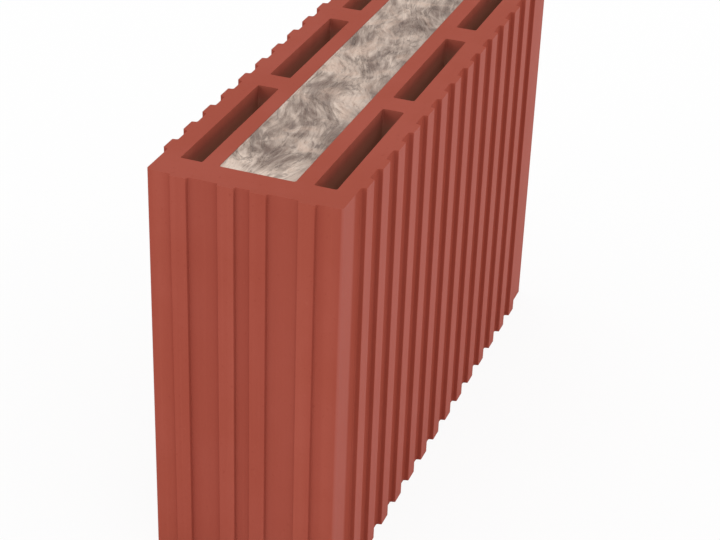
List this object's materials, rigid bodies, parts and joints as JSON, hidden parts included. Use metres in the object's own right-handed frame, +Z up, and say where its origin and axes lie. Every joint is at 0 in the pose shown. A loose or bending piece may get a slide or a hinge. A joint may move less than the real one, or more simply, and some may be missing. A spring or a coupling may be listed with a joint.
{
  "type": "sound insulation block",
  "caption": "Fired clay partition block with ribbed sides, upright air cells and a central chamber filled with a mineral wool strip for sound insulation.",
  "frame": {"origin": "centre of the box round the block, on its lower bed face", "axes": "+X along the laying length towards the grooved end, +Y through the wall thickness, +Z up along the cells"},
  "size_m": [0.375, 0.115, 0.249],
  "materials": {
    "fired_clay": "matt unglazed terracotta with fine pressing lines",
    "mineral_wool": "grey-beige matted stone wool fibre"
  },
  "bodies": {
    "root": {"clay_block": "fired_clay", "mineral_wool_insert": "mineral_wool"}
  },
  "joints": []
}
